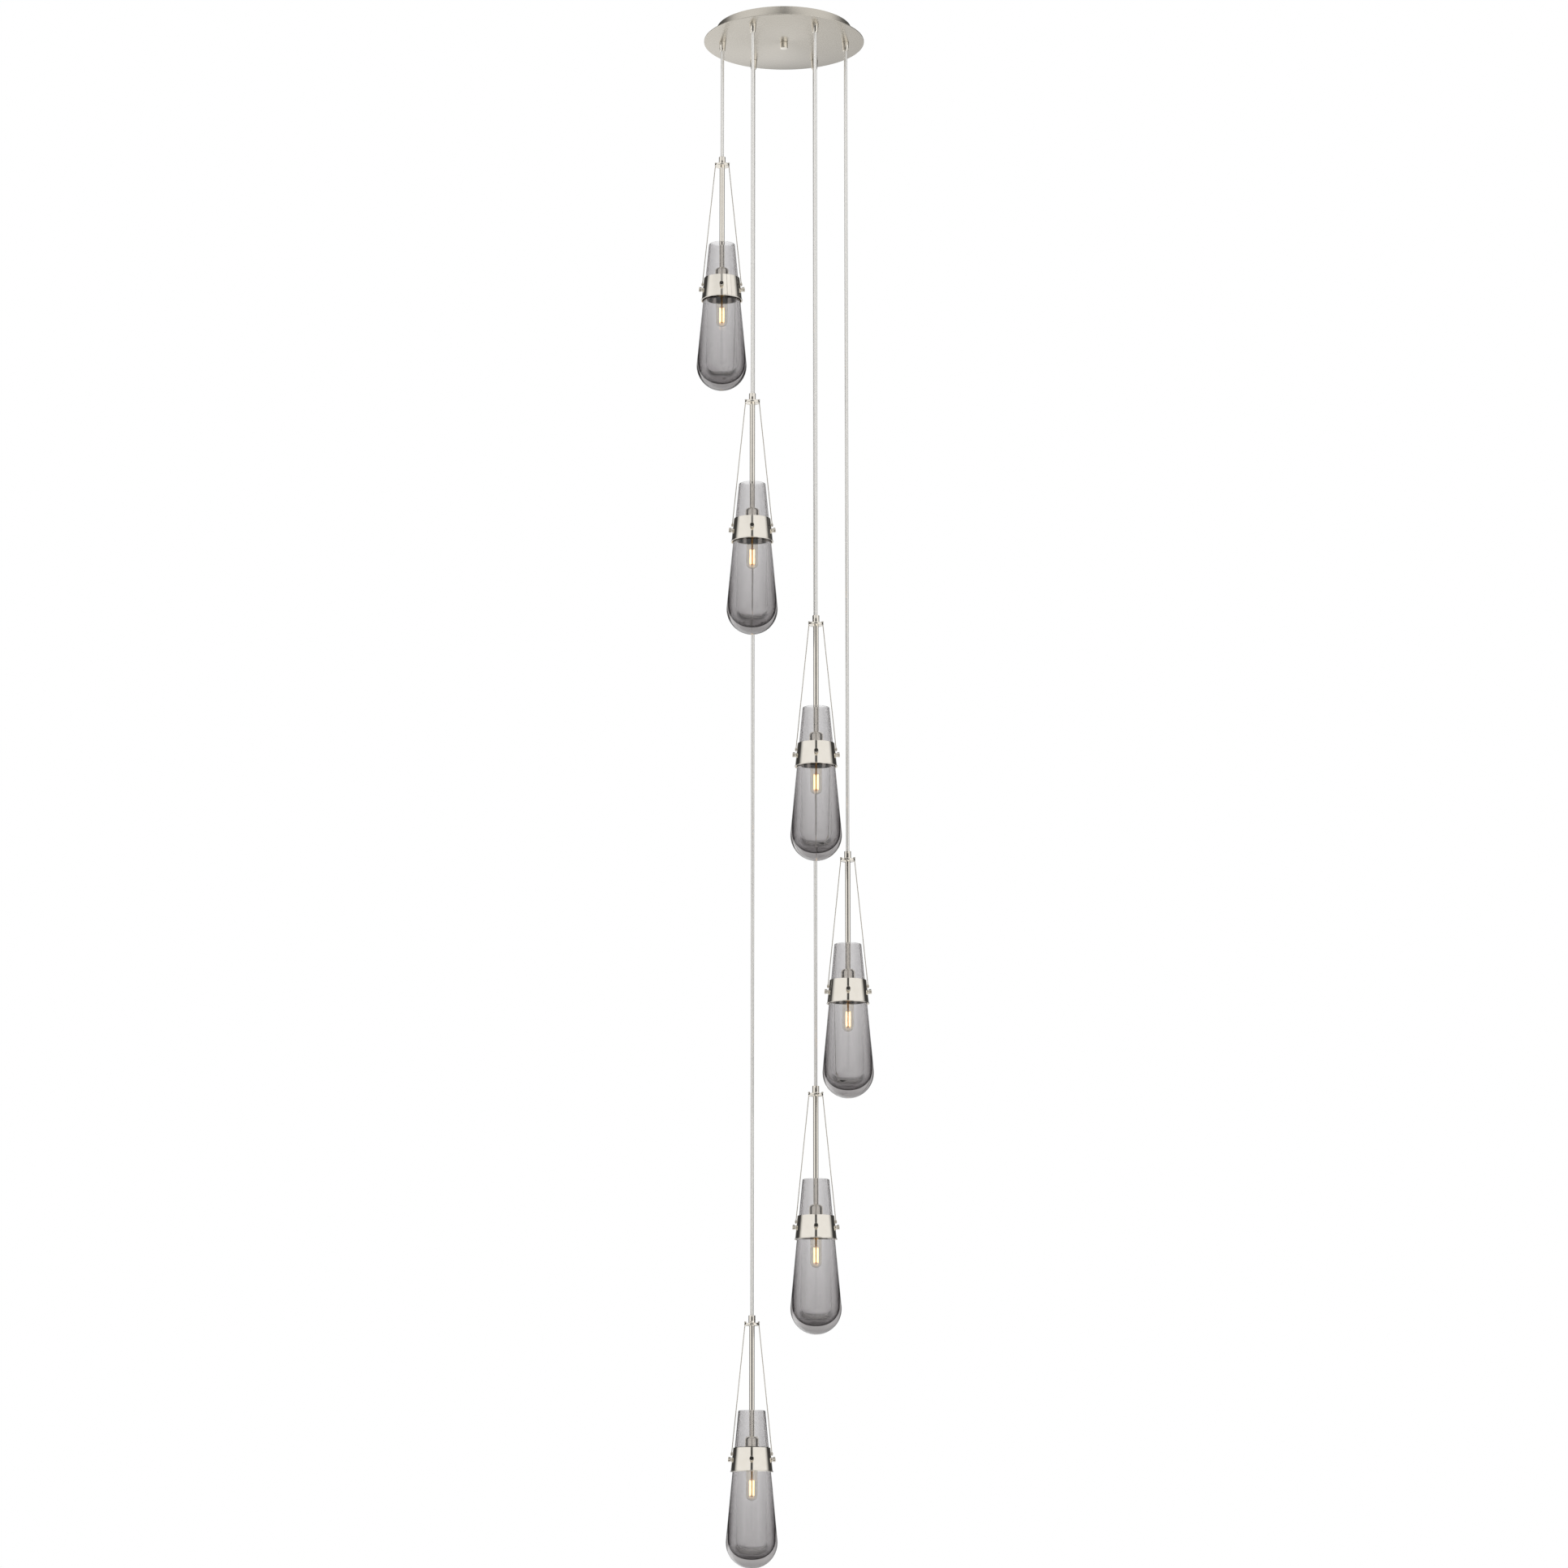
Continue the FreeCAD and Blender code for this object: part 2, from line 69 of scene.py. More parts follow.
# material tools. Colours are written as sRGB codes and turned linear here
def linearColour(code):
    channels = [int(code[k:k + 2], 16) / 255 for k in (1, 3, 5)]
    return [c / 12.92 if c <= 0.04045 else ((c + 0.055) / 1.055) ** 2.4 for c in channels] + [1.0]


def addNode(tree, kind, settings=None, links=None):
    node = tree.nodes.new("ShaderNode" + kind)
    for name, value in (settings or {}).items():
        if isinstance(name, str) and hasattr(node, name):
            setattr(node, name, value)
        else:
            node.inputs[name].default_value = value
    for name, (source, output) in (links or {}).items():
        tree.links.new(source.outputs[output], node.inputs[name])
    return node


def newMaterial(name):
    material = bpy.data.materials.new(name)
    material.use_nodes = True
    tree = material.node_tree
    tree.nodes.clear()
    return material, tree


def addNoise(tree, coords, size, detail):
    settings = {"Scale": 1 / (size * mm), "Detail": detail}
    return addNode(tree, "TexNoise", settings, {"Vector": (coords, "Object")})


def mixTones(tree, setup, amount):
    settings = {"data_type": "RGBA", 6: linearColour(setup["deep"]), 7: linearColour(setup["pale"])}
    return addNode(tree, "Mix", settings, {0: (amount, 0)})


def varyRoughness(tree, setup, amount):
    low, high = setup["roughness"] - setup["smoother"], setup["roughness"] + setup["rougher"]
    return addNode(tree, "MapRange", {"To Min": low, "To Max": high}, {"Value": (amount, 0)})


def addBump(tree, setup, height):
    settings = {"Strength": setup["bump"], "Distance": setup["depth"] * mm}
    return addNode(tree, "Bump", settings, {"Height": (height, 0)})


def addOutput(tree, shader, volume=None):
    output = addNode(tree, "OutputMaterial", {}, {"Surface": (shader, 0)})
    if volume:
        tree.links.new(volume.outputs[0], output.inputs["Volume"])


# nickel plate on spun steel, brushed round the middle: a satin sheen that fans out from the centre
satinSetup = {
    "pale": "#cdc8bf", "deep": "#bcb6ab", "roughness": 0.27, "smoother": 0.06, "rougher": 0.06, "anisotropy": 0.7,
    "lineSpacing": 0.9,    # mm between brush lines, coarser than real ones so that they show
    "lineDetail": 4.0, "lineBreaks": 0.7, "lineShare": 0.6, "bump": 0.4, "depth": 0.008,
    "cloudSize": 1000 / 9, "cloudDetail": 2.0, "cloudShare": 0.4,
}


def makeSatinNickel():
    s = satinSetup
    material, tree = newMaterial("satin nickel, brushed in rings")
    coords = addNode(tree, "TexCoord")
    axes = addNode(tree, "SeparateXYZ", {}, {0: (coords, "Object")})
    flat = addNode(tree, "CombineXYZ", {}, {0: (axes, 0), 1: (axes, 1)})
    radius = addNode(tree, "VectorMath", {"operation": "LENGTH"}, {0: (flat, 0)})
    across = addNode(tree, "Math", {"operation": "ADD"}, {0: (radius, "Value"), 1: (axes, 2)})
    step = addNode(tree, "Math", {"operation": "MULTIPLY", 1: 1 / (s["lineSpacing"] * mm)}, {0: (across, 0)})
    lines = addNode(tree, "TexNoise", {"noise_dimensions": "1D", "Scale": 1.0, "Detail": s["lineDetail"],
                                       "Roughness": s["lineBreaks"]}, {"W": (step, 0)})
    cloud = addNoise(tree, coords, s["cloudSize"], s["cloudDetail"])
    share = addNode(tree, "Math", {"operation": "MULTIPLY", 1: s["lineShare"]}, {0: (lines, 0)})
    amount = addNode(tree, "Math", {"operation": "MULTIPLY_ADD", 1: s["cloudShare"]},
                     {0: (cloud, 0), 2: (share, 0)})
    around = addNode(tree, "Tangent", {"direction_type": "RADIAL", "axis": "Z"})
    shader = addNode(tree, "BsdfPrincipled", {"Metallic": 1.0, "Anisotropic": s["anisotropy"]}, {
        "Base Color": (mixTones(tree, s, amount), 2), "Roughness": (varyRoughness(tree, s, lines), 0),
        "Normal": (addBump(tree, s, lines), 0), "Tangent": (around, 0)})
    addOutput(tree, shader)
    return material


# polished nickel plate: a warm mirror with faint smears where hands have wiped it
polishedSetup = {
    "pale": "#ece7de", "deep": "#e2dcd1", "roughness": 0.09, "smoother": 0.03, "rougher": 0.05,
    "smearSize": 14.0, "smearDetail": 3.0,
}


def makePolishedNickel():
    s = polishedSetup
    material, tree = newMaterial("polished nickel plate")
    smear = addNoise(tree, addNode(tree, "TexCoord"), s["smearSize"], s["smearDetail"])
    shader = addNode(tree, "BsdfPrincipled", {"Metallic": 1.0}, {
        "Base Color": (mixTones(tree, s, smear), 2), "Roughness": (varyRoughness(tree, s, smear), 0)})
    addOutput(tree, shader)
    return material


# plain metals and plastics, told apart by colour, roughness and the grain of their finish in mm:
# PVC is smooth and glossy, phenolic is dull with a moulded grain
plainKinds = {
    "metal": {"shader": {"Metallic": 1.0}, "detail": 4.0, "smoother": 0.08, "rougher": 0.1, "bump": 0.15},
    "plastic": {"shader": {"IOR": 1.54}, "detail": 3.0, "smoother": 0.04, "rougher": 0.06, "bump": 0.1},
}
plainSetups = {
    "bright zinc plate": {"kind": "metal", "pale": "#c9cccf", "deep": "#a9aeb3", "roughness": 0.33, "grain": 2.5},
    "green ground screw finish": {"kind": "metal", "pale": "#3f8f4f", "deep": "#2c6f3a", "roughness": 0.42,
                                  "grain": 1.5},
    "brass": {"kind": "metal", "pale": "#c79a52", "deep": "#a47832", "roughness": 0.24, "grain": 3.0},
    "stainless rope wire": {"kind": "metal", "pale": "#d6d0c5", "deep": "#b3aca0", "roughness": 0.3, "grain": 0.8},
    "copper strands": {"kind": "metal", "pale": "#d08a5c", "deep": "#a8623a", "roughness": 0.3, "grain": 0.5},
    "PVC wire insulation": {"kind": "plastic", "pale": "#efefec", "deep": "#dcdcd8", "roughness": 0.35,
                            "grain": 3.0},
    "black phenolic": {"kind": "plastic", "pale": "#24211f", "deep": "#141312", "roughness": 0.48, "grain": 1.2},
}


def makePlain(name):
    s = {"depth": 0.05, **plainKinds[plainSetups[name]["kind"]], **plainSetups[name]}
    material, tree = newMaterial(name)
    grain = addNoise(tree, addNode(tree, "TexCoord"), s["grain"], s["detail"])
    shader = addNode(tree, "BsdfPrincipled", s["shader"], {
        "Base Color": (mixTones(tree, s, grain), 2), "Roughness": (varyRoughness(tree, s, grain), 0),
        "Normal": (addBump(tree, s, grain), 0)})
    addOutput(tree, shader)
    return material


# blown glass: clear and heavy outside, its surface never quite even
glassSetup = {
    "ior": 1.46, "tone": "#ffffff", "waveSize": 38.0, "waveDetail": 1.0, "bump": 0.5, "depth": 0.05,
    "body": "#b0abab", "bodyDensity": 20.0,
}
# lamp glass: thin and clear
lampGlassSetup = {
    "ior": 1.47, "tone": "#fdfaf4", "waveSize": 50 / 3, "waveDetail": 1.0, "bump": 0.2, "depth": 0.02,
}


def makeGlass(name, s):
    material, tree = newMaterial(name)
    waves = addNoise(tree, addNode(tree, "TexCoord"), s["waveSize"], s["waveDetail"])
    shader = addNode(tree, "BsdfPrincipled", {
        "Base Color": linearColour(s["tone"]), "Roughness": 0.0, "IOR": s["ior"], "Transmission Weight": 1.0},
        {"Normal": (addBump(tree, s, waves), 0)})
    inside = None
    if "body" in s:
        inside = addNode(tree, "VolumeAbsorption", {"Color": linearColour(s["body"]), "Density": s["bodyDensity"]})
    addOutput(tree, shader, inside)
    return material


# smoke colour: a layer of dark glass cased round the cavity, under the clear glass, so that it looks
# darkest where it is seen edge on
casingSetup = {"colour": "#9c9799", "density": 290.0}


def makeSmokeCasing():
    s = casingSetup
    material, tree = newMaterial("smoke coloured casing in the glass")
    inside = addNode(tree, "VolumeAbsorption", {"Color": linearColour(s["colour"]), "Density": s["density"]})
    addOutput(tree, addNode(tree, "BsdfTransparent"), inside)
    return material


# filament: a yellow phosphor coat, lit, warm white in its middle
filamentGlow = {
    "deep": "#f6c95c", "pale": "#ffd79c", "strength": 4.0, "grain": 0.7, "detail": 2.0, "roughness": 0.5,
}


def makeFilament():
    s = filamentGlow
    material, tree = newMaterial("lit phosphor filament")
    grain = addNoise(tree, addNode(tree, "TexCoord"), s["grain"], s["detail"])
    shader = addNode(tree, "BsdfPrincipled", {"Roughness": s["roughness"], "Emission Strength": s["strength"],
                                              "Emission Color": linearColour(s["pale"])},
                     {"Base Color": (mixTones(tree, s, grain), 2)})
    addOutput(tree, shader)
    return material


# bmesh tools
sharpestSmooth = 32    # degrees: edges sharper than this stay sharp in the shading
leastRounded = 40      # degrees: edges sharper than this can be rounded
mergeWithin = 1e-4     # mm
hairline = 0.1         # mm: how near an edge has to be to the outline it is picked by


def arcPoints(centreR, centreZ, radius, first, last, steps):
    angles = [math.radians(first + (last - first) * k / steps) for k in range(steps + 1)]
    return [(centreR + radius * math.cos(a), centreZ + radius * math.sin(a)) for a in angles]


def turned(profile, steps):
    # closed round the axis: an outline that starts and ends on the axis stays open there
    bm = bmesh.new()
    verts = [bm.verts.new((r, 0, z)) for r, z in profile]
    onAxis = profile[0][0] == 0 and profile[-1][0] == 0
    edges = [bm.edges.new(pair) for pair in zip(verts, verts[1:] + ([] if onAxis else verts[:1]))]
    bmesh.ops.spin(bm, geom=verts + edges, cent=(0, 0, 0), axis=(0, 0, 1), angle=2 * math.pi, steps=steps,
                   use_merge=True)
    bmesh.ops.remove_doubles(bm, verts=bm.verts, dist=mergeWithin)
    bmesh.ops.recalc_face_normals(bm, faces=bm.faces)
    return bm


def roundEdges(bm, width, segments=3, choose=None):
    edges = [e for e in bm.edges if e.is_manifold and e.calc_face_angle(0) > math.radians(leastRounded)]
    edges = [e for e in edges if choose is None or choose(e)]
    bmesh.ops.bevel(bm, geom=edges, offset=width, offset_type="OFFSET", segments=segments, profile=0.5,
                    affect="EDGES", clamp_overlap=True, material=-1)
    return bm


def outside(radius):
    return lambda e: e.verts[0].co.xy.length > radius - hairline


def addTo(target, source, matrix=None):
    if matrix is not None:
        bmesh.ops.transform(source, matrix=matrix, verts=source.verts)
    scrap = bpy.data.meshes.new("scrap")
    source.to_mesh(scrap)
    source.free()
    target.from_mesh(scrap)
    bpy.data.meshes.remove(scrap)


def repeatRound(bm, count, first=0.0):
    source = bm.verts[:] + bm.edges[:] + bm.faces[:]
    bmesh.ops.rotate(bm, verts=bm.verts, cent=(0, 0, 0), matrix=Matrix.Rotation(math.radians(first), 3, "Z"))
    for k in range(1, count):
        copy = bmesh.ops.duplicate(bm, geom=source)["geom"]
        verts = [g for g in copy if isinstance(g, bmesh.types.BMVert)]
        turn = Matrix.Rotation(math.radians(360 * k / count), 3, "Z")
        bmesh.ops.rotate(bm, verts=verts, cent=(0, 0, 0), matrix=turn)
    return bm


def aimedAt(direction, place):
    turn = Vector((0, 0, 1)).rotation_difference(Vector(direction)).to_matrix().to_4x4()
    return Matrix.Translation(place) @ turn


def addPiece(name, data, body, node):
    piece = bpy.data.objects.new(name, data)
    scene.collection.objects.link(piece)
    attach(piece, body)
    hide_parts(node)
    return piece


def makePiece(bm, name, body, node, material, place=(0, 0, 0)):
    bmesh.ops.transform(bm, matrix=Matrix.Translation(place) @ Matrix.Scale(mm, 4), verts=bm.verts)
    mesh = bpy.data.meshes.new(name)
    bm.to_mesh(mesh)
    bm.free()
    mesh.shade_smooth()
    mesh.set_sharp_from_angle(angle=math.radians(sharpestSmooth))
    mesh.materials.append(material)
    return addPiece(name, mesh, body, node)


curveDetail = {"around": 6, "along": 12}


def makeCurve(name, routes, radius, material, body, node):
    data = bpy.data.curves.new(name, "CURVE")
    data.dimensions = "3D"
    data.bevel_depth = radius
    data.bevel_resolution = curveDetail["around"]
    data.resolution_u = curveDetail["along"]
    data.use_fill_caps = True
    for route in routes:
        spline = data.splines.new("NURBS")
        spline.points.add(len(route) - 1)
        for point, place in zip(spline.points, route):
            point.co = (*place, 1.0)
        spline.order_u = 3
        spline.use_endpoint_u = True
    data.materials.append(material)
    return addPiece(name, data, body, node)


# cord: a clear PVC jacket over a tinned braid, bright along its middle and grey towards its edges
cordLook = {
    "pale": "#eceae6", "deep": "#dad8d4", "metallic": 0.65, "roughness": 0.26, "coat": 0.6, "coatRoughness": 0.04,
    "braid": 2.2, "detail": 3.0, "bump": 0.03, "depth": 0.05,
}


def makeCordJacket():
    s = cordLook
    material, tree = newMaterial("clear PVC jacket over tinned braid")
    braid = addNoise(tree, addNode(tree, "TexCoord"), s["braid"], s["detail"])
    shader = addNode(tree, "BsdfPrincipled", {"Metallic": s["metallic"], "Roughness": s["roughness"],
                                              "Coat Weight": s["coat"], "Coat Roughness": s["coatRoughness"]},
                     {"Base Color": (mixTones(tree, s, braid), 2), "Normal": (addBump(tree, s, braid), 0)})
    addOutput(tree, shader)
    return material


# cords: each hangs straight from the bend in its grip down to its lampholder, and its tail lies in the canopy
cordSetup = {
    "radius": 3.4, "endBelowHub": 236.0,
    "tail": [(127.0, -45.0), (127.0, -14.7), (127.0, -5.2), (117.5, -5.2), (97.5, -5.2)],   # radius, height
}


def hangsAt(number):
    low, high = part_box("cord_%d" % number)
    return Vector(((low.x + high.x) / 2, (low.y + high.y) / 2, low.z + cordSetup["endBelowHub"] * mm))


def makeCords():
    jacket = makeCordJacket()
    for number in pendantNumbers:
        name = "cord_%d" % number
        low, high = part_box(name)
        across = hangsAt(number)
        top = (across.x, across.y, high.z)
        route = [top, (across.x, across.y, low.z)]
        piece = makeCurve(name + "_jacket", [route], cordSetup["radius"] * mm, jacket, name, name)
    routes = []
    for k in range(pendantCount):
        angle = math.radians(360 * k / pendantCount)
        across, along = mm * math.cos(angle), mm * math.sin(angle)
        routes.append([(r * across, r * along, z * mm) for r, z in cordSetup["tail"]])
    makeCurve("cord_tails_jacket", routes, cordSetup["radius"] * mm, jacket, "canopy", "cord_tails")
    print("cords hang")


# canopy: plate, pan, knob, grips, and the hardware inside
canopySetup = {
    "plateRadius": 165.0, "plateLow": -27.5, "plateHigh": -25.5, "plateEdge": 0.7, "holeRadius": 4.97,
    "panRadius": 139.0, "panWall": 1.2, "panCorner": 3.4, "steps": 192,
    "knobRadius": 7.85, "knobHeight": 13.0, "knobEdge": 0.8, "knobGap": 0.05, "knobFloor": 3.0, "knobSteps": 72,
}


def makeCanopy(satin, polished):
    s = canopySetup
    plate = turned([(s["holeRadius"], s["plateLow"]), (s["plateRadius"], s["plateLow"]),
                    (s["plateRadius"], s["plateHigh"]), (s["holeRadius"], s["plateHigh"])], s["steps"])
    roundEdges(plate, s["plateEdge"], choose=outside(s["plateRadius"]))
    makePiece(plate, "canopy_plate_disc", "canopy", "canopy_plate", satin)

    corner, outer, inner = s["panCorner"], s["panRadius"], s["panRadius"] - s["panWall"]
    floor, top = s["plateHigh"], s["plateHigh"] + s["panWall"]
    outline = [(s["holeRadius"], floor)]
    outline += arcPoints(outer - corner, floor + corner, corner, -90, 0, 8)
    outline += [(outer, 0), (inner, 0)]
    outline += arcPoints(outer - corner, floor + corner, corner - s["panWall"], 0, -90, 8)
    outline += [(s["holeRadius"], top)]
    makePiece(turned(outline, s["steps"]), "canopy_pan_dish", "canopy", "canopy_pan", satin)

    high = s["plateLow"] - s["knobGap"]
    low = high - s["knobHeight"]
    knob = turned([(0, low), (s["knobRadius"], low), (s["knobRadius"], high), (s["holeRadius"], high),
                   (s["holeRadius"], low + s["knobFloor"]), (0, low + s["knobFloor"])], s["knobSteps"])
    roundEdges(knob, s["knobEdge"], 4, choose=outside(s["knobRadius"]))
    makePiece(knob, "centre_knob_cap", "canopy", "centre_knob", polished)
    print("canopy made")


# grips: tapered and turned, with a threaded shank through the plate and a set screw in the side
gripSetup = {
    "circle": 127.0, "low": -46.5, "high": -27.55, "endRadius": 5.6, "topRadius": 7.2, "endRound": 1.2,
    "topBevel": 0.3, "bore": 3.8, "shankRadius": 4.85, "shankHigh": -18.7, "threadPitch": 1.0, "threadDepth": 0.35,
    "screwHeight": 5.5, "screwRadius": 1.25, "screwHead": 0.25, "screwEdge": 0.12, "screwGap": 0.1,
    "socketRadius": 0.65, "socketDepth": 0.8, "steps": 64, "screwSteps": 24,
}


def makeGrips(polished):
    s = gripSetup
    outline = [(s["bore"], s["low"])]
    outline += arcPoints(s["endRadius"] - s["endRound"], s["low"] + s["endRound"], s["endRound"], -90, 0, 5)
    outline += [(s["topRadius"], s["high"] - s["topBevel"]), (s["topRadius"] - s["topBevel"], s["high"]),
                (s["shankRadius"], s["high"])]
    turns = int((s["shankHigh"] - s["high"]) / s["threadPitch"])
    for k in range(turns):                                  # thread of the shank, as ridges
        z = s["high"] + (k + 0.5) * s["threadPitch"]
        outline += [(s["shankRadius"] - s["threadDepth"], z), (s["shankRadius"], z + s["threadPitch"] / 2)]
    outline += [(s["shankRadius"] - s["threadDepth"], s["shankHigh"]), (s["bore"], s["shankHigh"])]
    grip = turned(outline, s["steps"])
    bmesh.ops.translate(grip, vec=(s["circle"], 0, 0), verts=grip.verts)
    makePiece(repeatRound(grip, pendantCount), "cord_grips_turned", "canopy", "cord_grips",
              polished)

    height = s["screwHeight"]
    surface = s["endRadius"] + (s["topRadius"] - s["endRadius"]) * height / (s["high"] - s["low"])
    inner, outer = cordSetup["radius"] + s["screwGap"], surface + s["screwHead"]
    screw = turned([(0, inner), (s["screwRadius"], inner), (s["screwRadius"], outer), (s["socketRadius"], outer),
                    (s["socketRadius"], outer - s["socketDepth"]), (0, outer - s["socketDepth"])], s["screwSteps"])
    roundEdges(screw, s["screwEdge"], 2)
    # set screws face outwards, away from the middle of the canopy
    bmesh.ops.transform(screw, matrix=aimedAt((1, 0, 0), (s["circle"], 0, s["low"] + height)), verts=screw.verts)
    makePiece(repeatRound(screw, pendantCount), "grip_screws_socket", "canopy", "grip_screws",
              polished)
    print("grips made")


# cores: the two insulated wires at the end of each tail, with bare copper ends
coreSetup = {
    "radius": 1.1, "offset": 1.15, "start": 97.5, "end": 83.5, "height": -5.2, "bare": 2.5, "copperRadius": 0.7,
}


def makeCores():
    s = coreSetup
    insulation, copper = makePlain("PVC wire insulation"), makePlain("copper strands")
    sleeves, ends = [], []
    for k in range(pendantCount):
        turn = Matrix.Rotation(math.radians(360 * k / pendantCount), 4, "Z")
        for side in (-1, 1):
            places = [turn @ Vector((r, side * s["offset"], s["height"])) * mm
                      for r in (s["start"], s["end"] + s["bare"], s["end"])]
            sleeves.append(places[:2])
            ends.append(places[1:])
    makeCurve("core_sleeves", sleeves, s["radius"] * mm, insulation, "canopy", "cord_cores")
    makeCurve("core_copper_ends", ends, s["copperRadius"] * mm, copper, "canopy", "cord_cores")


# hanger: coupler, hub, stem and socket cup. Heights are from the underside of the hub
hangerSetup = {
    "couplerRadius": 6.75, "couplerLow": 5.25, "couplerHigh": 20.15, "couplerEdge": 0.5, "cordBore": 3.6,
    "hubRadius": 15.0, "hubThickness": 5.2, "hubEdge": 1.3, "notchDepth": 2.7, "notchWidth": 2.4, "hubSides": 192,
    "stemRadius": 5.15, "stemLow": -233.0, "stemHigh": 12.7, "cupTop": -219.0, "cupLow": -277.0,
    "cupRadius": 13.8, "cupWall": 1.2, "cupShoulder": 7.0, "cupNeck": 5.27, "cupEdge": 0.3, "steps": 64,
}


def couplerShape():
    s = hangerSetup
    bm = turned([(s["cordBore"], s["couplerLow"]), (s["couplerRadius"], s["couplerLow"]),
                 (s["couplerRadius"], s["couplerHigh"]), (s["cordBore"], s["couplerHigh"])], s["steps"])
    return roundEdges(bm, s["couplerEdge"], choose=outside(s["couplerRadius"]))


def hubShape():
    s = hangerSetup
    bm = bmesh.new()
    bmesh.ops.create_circle(bm, cap_ends=True, radius=s["hubRadius"], segments=s["hubSides"])
    for vert in bm.verts:                                   # one notch a side lets a rope through
        if abs(vert.co.y) < s["notchWidth"] / 2:
            vert.co.x = math.copysign(s["hubRadius"] - s["notchDepth"], vert.co.x)
    raised = bmesh.ops.extrude_face_region(bm, geom=bm.faces[:])["geom"]
    verts = [g for g in raised if isinstance(g, bmesh.types.BMVert)]
    bmesh.ops.translate(bm, vec=(0, 0, s["hubThickness"]), verts=verts)
    bmesh.ops.recalc_face_normals(bm, faces=bm.faces)

    def onRim(e):
        flat = abs(e.verts[0].co.z - e.verts[1].co.z) < hairline
        return flat and min(v.co.xy.length for v in e.verts) > s["hubRadius"] - hairline
    return roundEdges(bm, s["hubEdge"], 4, choose=onRim)


def stemShape():
    s = hangerSetup
    return turned([(s["cordBore"], s["stemLow"]), (s["stemRadius"], s["stemLow"]),
                   (s["stemRadius"], s["stemHigh"]), (s["cordBore"], s["stemHigh"])], s["steps"])


def cupShape():
    s = hangerSetup
    middle, shoulder = s["cupRadius"] - s["cupShoulder"], s["cupShoulder"]
    outline = [(s["cupNeck"], s["cupTop"])]
    outline += arcPoints(middle, s["cupTop"] - shoulder, shoulder, 90, 0, 12)
    outline += [(s["cupRadius"], s["cupLow"]), (s["cupRadius"] - s["cupWall"], s["cupLow"])]
    outline += arcPoints(middle, s["cupTop"] - shoulder, shoulder - s["cupWall"], 0, 90, 12)
    outline += [(s["cupNeck"], s["cupTop"] - s["cupWall"])]
    bm = turned(outline, s["steps"])
    return roundEdges(bm, s["cupEdge"], 2, choose=lambda e: e.verts[0].co.z < s["cupLow"] + hairline)


# lampholder: a moulded insulator, and the screw shell and contact in its socket
holderSetup = {
    "high": -227.0, "low": -269.0, "radius": 12.2, "stemRoom": 5.5, "cordRoom": 3.7, "stemLow": -233.05,
    "cordEnd": -236.05, "edge": 0.25, "socketRadius": 6.9, "socketHigh": -248.0, "shellWall": 0.55,
    "shellGap": 0.12, "shellLow": -268.45, "shellHigh": -249.3, "threadPitch": 3.2, "threadDepth": 0.2,
    "contactRadius": 2.2, "steps": 48, "contactSteps": 32,
}


def insulatorShape():
    s = holderSetup
    bm = turned([(0, s["socketHigh"]), (s["socketRadius"], s["socketHigh"]), (s["socketRadius"], s["low"]),
                 (s["radius"], s["low"]), (s["radius"], s["high"]), (s["stemRoom"], s["high"]),
                 (s["stemRoom"], s["stemLow"]), (s["cordRoom"], s["stemLow"]), (s["cordRoom"], s["cordEnd"]),
                 (0, s["cordEnd"])], s["steps"])
    return roundEdges(bm, s["edge"], 2)


def threadedWall(radius, low, high, pitch, depth, stepsPerTurn=8):
    steps = int((high - low) / pitch * stepsPerTurn)
    heights = [low + (high - low) * k / steps for k in range(steps + 1)]
    return [(radius + depth * math.sin(2 * math.pi * (z - low) / pitch) - depth, z) for z in heights]


def shellShape():
    s = holderSetup
    outer = threadedWall(s["socketRadius"] - s["shellGap"], s["shellLow"], s["shellHigh"], s["threadPitch"],
                         s["threadDepth"])
    bm = turned(outer + [(r - s["shellWall"], z) for r, z in reversed(outer)], s["steps"])
    addTo(bm, turned([(0, s["shellHigh"]), (s["contactRadius"], s["shellHigh"]),
                      (s["contactRadius"], s["socketHigh"]), (0, s["socketHigh"])], s["contactSteps"]))
    return bm


# bulb: clear tube with a round end, a metal cap and four lit filaments round a post
bulbSetup = {
    "radius": 11.65, "end": -345.0, "wall": 0.8, "neckLow": -277.35,
    "capRadius": 5.9, "capLow": -269.35, "capHigh": -249.35, "capInset": 0.6, "threadStart": 2.0, "threadEnd": 3.0,
    "threadPitch": 2.6, "threadDepth": 0.25, "tipRadius": 2.2, "tipHeight": 2.2,
    "postRadius": 1.7, "postLow": -303.0, "postHigh": -275.35, "postGap": 0.2,
    "filamentLow": -335.0, "filamentHigh": -305.0, "filamentRadius": 1.5, "filamentCircle": 4.6,
    "wireRadius": 0.35, "wireLead": 1.2, "wireRise": 2.6, "wireDrop": 0.6, "spineRadius": 0.45, "spineDrop": 1.0,
    "collarRadius": 1.9, "collarHeight": 1.4, "collarDepths": (20.0, 26.0), "filaments": 4, "filamentTurn": 45.0,
    "steps": 72, "capSteps": 48, "postSteps": 32, "collarSteps": 24, "filamentSteps": 20, "wireSteps": 16,
}


def bulbGlassShape():
    s = bulbSetup
    middle, inner = s["end"] + s["radius"], s["radius"] - s["wall"]
    shoulder = s["radius"] - s["capRadius"]
    outline = arcPoints(0, middle, s["radius"], -90, 0, 20)
    outline += arcPoints(s["radius"] - shoulder, s["neckLow"], shoulder, 0, 90, 8)
    outline += [(s["capRadius"], s["capLow"]), (s["capRadius"] - s["wall"], s["capLow"])]
    outline += arcPoints(s["radius"] - shoulder, s["neckLow"], shoulder - s["wall"], 90, 0, 8)
    outline += arcPoints(0, middle, inner, 0, -90, 20)
    outline[0], outline[-1] = (0, outline[0][1]), (0, outline[-1][1])
    return turned(outline, s["steps"])


